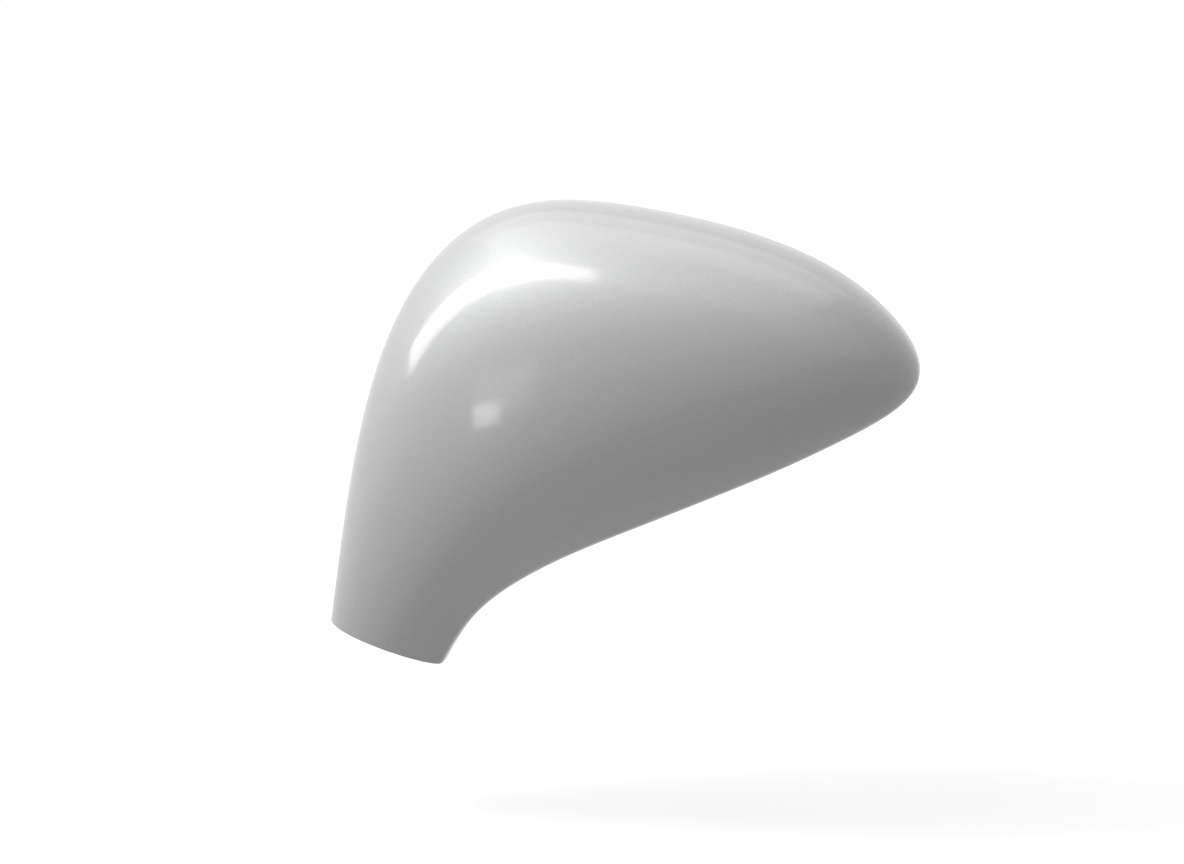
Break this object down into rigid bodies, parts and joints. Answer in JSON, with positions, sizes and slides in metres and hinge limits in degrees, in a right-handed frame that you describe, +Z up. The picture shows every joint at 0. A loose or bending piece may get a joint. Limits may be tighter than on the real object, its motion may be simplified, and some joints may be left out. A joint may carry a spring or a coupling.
{
  "type": "wing mirror cover",
  "caption": "Smooth rounded outer cap of a car door mirror with a short neck, open at the back, with snap hooks and locating pegs inside.",
  "frame": {"origin": "axis of the main locating peg, in the plane of its shoulder", "axes": "+X outboard to the tip, +Z up on the car, +Y out of the open back, the way the pegs point"},
  "size_m": [0.2397, 0.0717, 0.189],
  "materials": {
    "silver_paint": "silver-grey clear-coated paint outside, bare satin plastic inside"
  },
  "bodies": {
    "root": {"mirror_cover": "silver_paint"}
  },
  "joints": []
}
